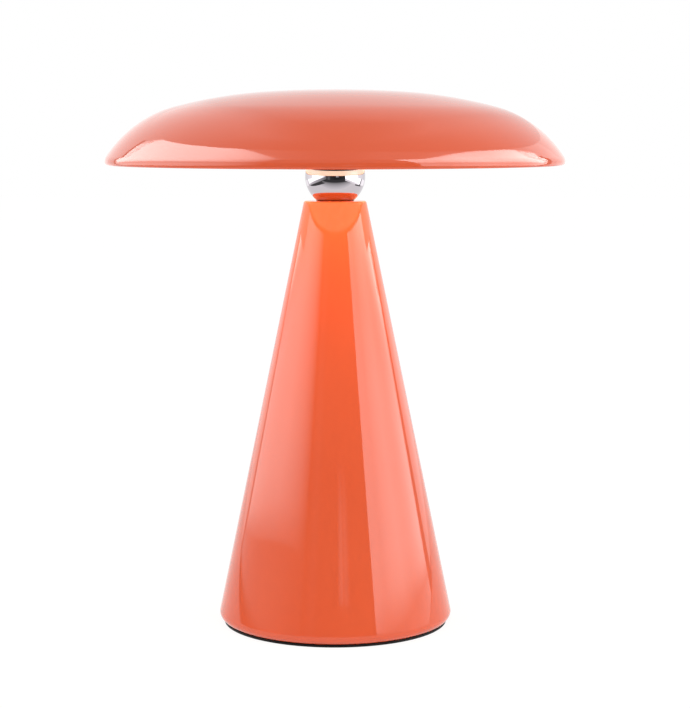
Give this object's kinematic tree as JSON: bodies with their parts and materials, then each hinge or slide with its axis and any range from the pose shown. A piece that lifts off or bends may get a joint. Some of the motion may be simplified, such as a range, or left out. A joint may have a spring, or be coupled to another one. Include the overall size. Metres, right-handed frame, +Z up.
{
  "type": "desk lamp",
  "caption": "Cordless desk lamp: a tall glossy cone on a rubber foot, a chrome ball joint in its neck, and a wide shallow dome shade over a flat opal diffuser.",
  "frame": {"origin": "centre of the foot ring's underside, on the table", "axes": "+Z up along the lamp's axis, -Y towards the front, the charging port at the back on +Y"},
  "size_m": [0.2282, 0.2282, 0.268],
  "materials": {
    "coral_lacquer": "high-gloss coral lacquer",
    "chrome": "mirror-polished chrome",
    "foot_rubber": "matte black rubber",
    "opal_acrylic": "satin opal acrylic",
    "black_plastic": "fine moulded black",
    "acetal": "smooth coral-dyed acetal",
    "washer_nylon": "natural nylon",
    "carrier_plastic": "fine moulded grey",
    "zinc_steel": "bright zinc plate",
    "spring_steel": "oiled spring steel",
    "ballast_iron": "rough cast",
    "plate_aluminium": "rolled mill finish",
    "led_board_white": "white solder mask on aluminium",
    "led_phosphor": "yellow phosphor in a white pack",
    "board_green": "green solder mask",
    "chip_black": "moulded chip black",
    "socket_steel": "bright stainless shell",
    "cell_wrap": "shrink-wrapped cell",
    "nickel": "nickel strip",
    "lead_jacket": "soft white jacket"
  },
  "bodies": {
    "base": {"cone_body": "coral_lacquer", "foot_ring": "foot_rubber", "base_plate": "black_plastic", "usb_bezel": "black_plastic", "battery_carrier": "carrier_plastic", "base_screws": "zinc_steel", "mounting_ring": "zinc_steel", "stop_stud": "zinc_steel", "carrier_screws": "zinc_steel", "board_screws": "zinc_steel", "ballast_weight": "ballast_iron", "control_board": "board_green", "board_components": "chip_black", "usb_socket": "socket_steel", "battery_cells": "cell_wrap", "cell_links": "nickel", "supply_lead": "lead_jacket", "touch_lead": "lead_jacket"},
    "swivel": {"swivel_seat": "acetal", "thrust_washer": "washer_nylon"},
    "head": {"chrome_ball": "chrome", "stem_tube": "zinc_steel", "pressure_saddle": "zinc_steel", "disc_springs": "spring_steel", "stem_nut": "zinc_steel", "shade_shell": "coral_lacquer", "shade_studs": "zinc_steel", "stud_screws": "zinc_steel", "ball_hub": "black_plastic", "hub_screws": "zinc_steel", "lamp_plate": "plate_aluminium", "top_washer": "zinc_steel", "top_nut": "zinc_steel", "led_board": "led_board_white", "led_chips": "led_phosphor", "diffuser": "opal_acrylic", "head_lead": "lead_jacket"}
  },
  "joints": [
    {"name": "neck_swivel", "type": "hinge", "parent": "base", "child": "swivel", "pos_m": [0, 0, 0.211], "axis": [0, 0, 1], "range_deg": [-167, 167]},
    {"name": "shade_tilt", "type": "hinge", "parent": "swivel", "child": "head", "pos_m": [0, 0, 0.225], "axis": [1, 0, 0], "range_deg": [-15, 15]}
  ]
}
